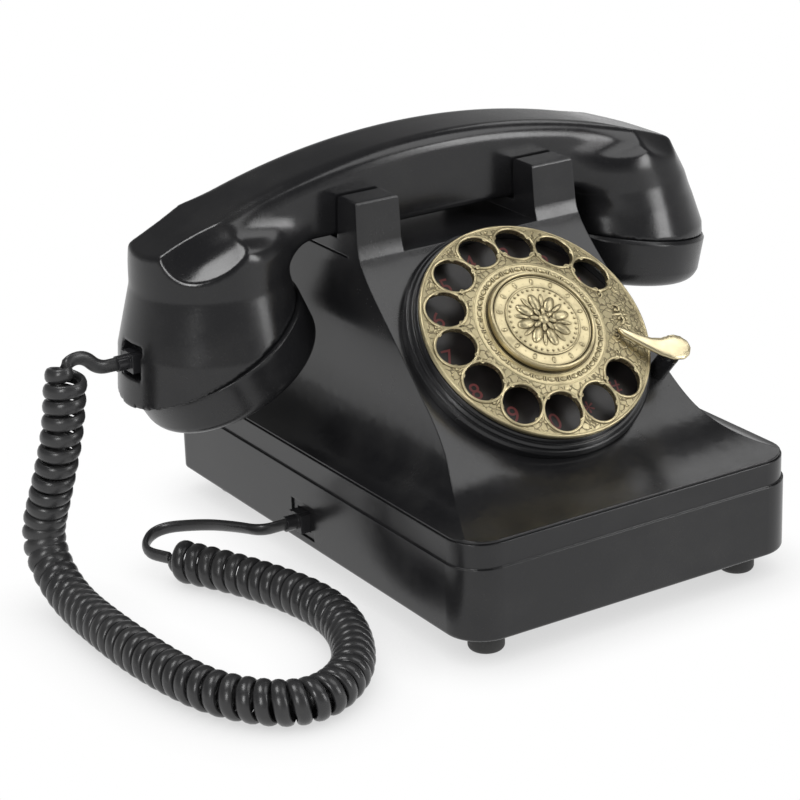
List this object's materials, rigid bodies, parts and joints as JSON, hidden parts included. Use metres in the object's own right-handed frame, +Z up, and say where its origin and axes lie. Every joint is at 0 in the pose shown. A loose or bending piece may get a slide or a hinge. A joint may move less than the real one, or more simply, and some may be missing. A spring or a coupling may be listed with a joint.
{
  "type": "rotary desk telephone",
  "caption": "Black desk telephone with an antique-brass rotary dial, lift-off handset and curly cord.",
  "frame": {"origin": "on the desk under the middle of the base, the cord left out", "axes": "+X is the phone's right along the handset, -Y its front, +Z up"},
  "size_m": [0.2668, 0.1908, 0.1372],
  "materials": {
    "black_abs": "satin, slightly worn",
    "antique_brass": "antiqued, dark in the engraving",
    "pale_brass": "smooth satin",
    "number_card": "dark with dull red characters",
    "foot_rubber": "matte",
    "cord_pvc": "glossy",
    "plug_plastic": "glossy",
    "steel": "zinc plated",
    "brass_gear": "machined",
    "inner_plastic": "moulded",
    "board_green": "varnished"
  },
  "bodies": {
    "base": {"ballast_plate": "steel", "base_jack": "black_abs", "base_lead": "cord_pvc", "base_plug": "plug_plastic", "base_tray": "black_abs", "board_capacitors": "inner_plastic", "board_posts": "inner_plastic", "case_screws": "steel", "cord_coil": "cord_pvc", "dial_bezel": "black_abs", "dial_frame": "steel", "dial_screws": "steel", "foot_front_left": "foot_rubber", "foot_front_right": "foot_rubber", "foot_rear_left": "foot_rubber", "foot_rear_right": "foot_rubber", "governor_bracket": "steel", "governor_cup": "brass_gear", "handset_lead": "cord_pvc", "hook_bracket": "steel", "hook_spring_left": "steel", "hook_spring_right": "steel", "hook_switch": "inner_plastic", "housing_shell": "black_abs", "line_jack": "black_abs", "line_transformer": "inner_plastic", "main_board": "board_green", "number_plate": "number_card", "pulse_contacts": "inner_plastic", "rear_bush": "brass_gear", "return_spring": "steel", "ringer_speaker": "inner_plastic", "ringer_switch_body": "inner_plastic", "shaft_bush": "brass_gear", "stop_bracket": "black_abs", "stop_pin": "steel"},
    "dial": {"finger_wheel": "antique_brass", "medallion": "antique_brass", "dial_shaft": "steel", "wheel_screw": "steel", "main_gear": "brass_gear", "pulse_cam": "inner_plastic", "spring_collar": "steel"},
    "governor": {"governor_shaft": "steel", "governor_pinion": "brass_gear", "governor_weights": "brass_gear"},
    "stop": {"finger_stop": "pale_brass"},
    "hook": {"hook_plunger_left": "black_abs", "hook_plunger_right": "black_abs", "hook_bar": "steel"},
    "ringer_knob": {"ringer_switch_knob": "black_abs"},
    "handset": {"handset_body": "black_abs", "mouth_cap": "black_abs", "ear_cap": "black_abs", "microphone_capsule": "inner_plastic", "receiver_capsule": "inner_plastic", "handset_jack": "black_abs", "handset_plug": "plug_plastic"}
  },
  "joints": [
    {"name": "handset_lift", "type": "slide", "parent": "base", "child": "handset", "axis": [0, 0, 1], "range_m": [0, 0.08]},
    {"name": "dial_turn", "type": "hinge", "parent": "base", "child": "dial", "pos_m": [0, -0.03783, 0.083], "axis": [0, -0.6626, 0.749], "range_deg": [-317, 0], "stiffness_Nm_per_rad": 0.004, "springref_deg": 68.75},
    {"name": "governor_spin", "type": "hinge", "parent": "base", "child": "governor", "pos_m": [-0.02079, -0.04066, 0.06809], "axis": [0, -0.6626, 0.749], "range_deg": [0, 1586]},
    {"name": "stop_rock", "type": "hinge", "parent": "base", "child": "stop", "pos_m": [0.0405, -0.05495, 0.07107], "axis": [0.4555, 0.6667, 0.5899], "range_deg": [0, 4], "stiffness_Nm_per_rad": 0.02, "springref_deg": -11.46},
    {"name": "hook_rise", "type": "slide", "parent": "base", "child": "hook", "axis": [0, 0, 1], "range_m": [0, 0.004], "deforming": ["hook_spring_left", "hook_spring_right"]},
    {"name": "ringer_slide", "type": "slide", "parent": "base", "child": "ringer_knob", "axis": [1, 0, 0], "range_m": [0, 0.007]}
  ],
  "couplings": [
    {"joint": "governor_spin", "follows": "dial_turn", "ratio": -5},
    {"joint": "hook_rise", "follows": "handset_lift", "ratio": 0.05}
  ]
}
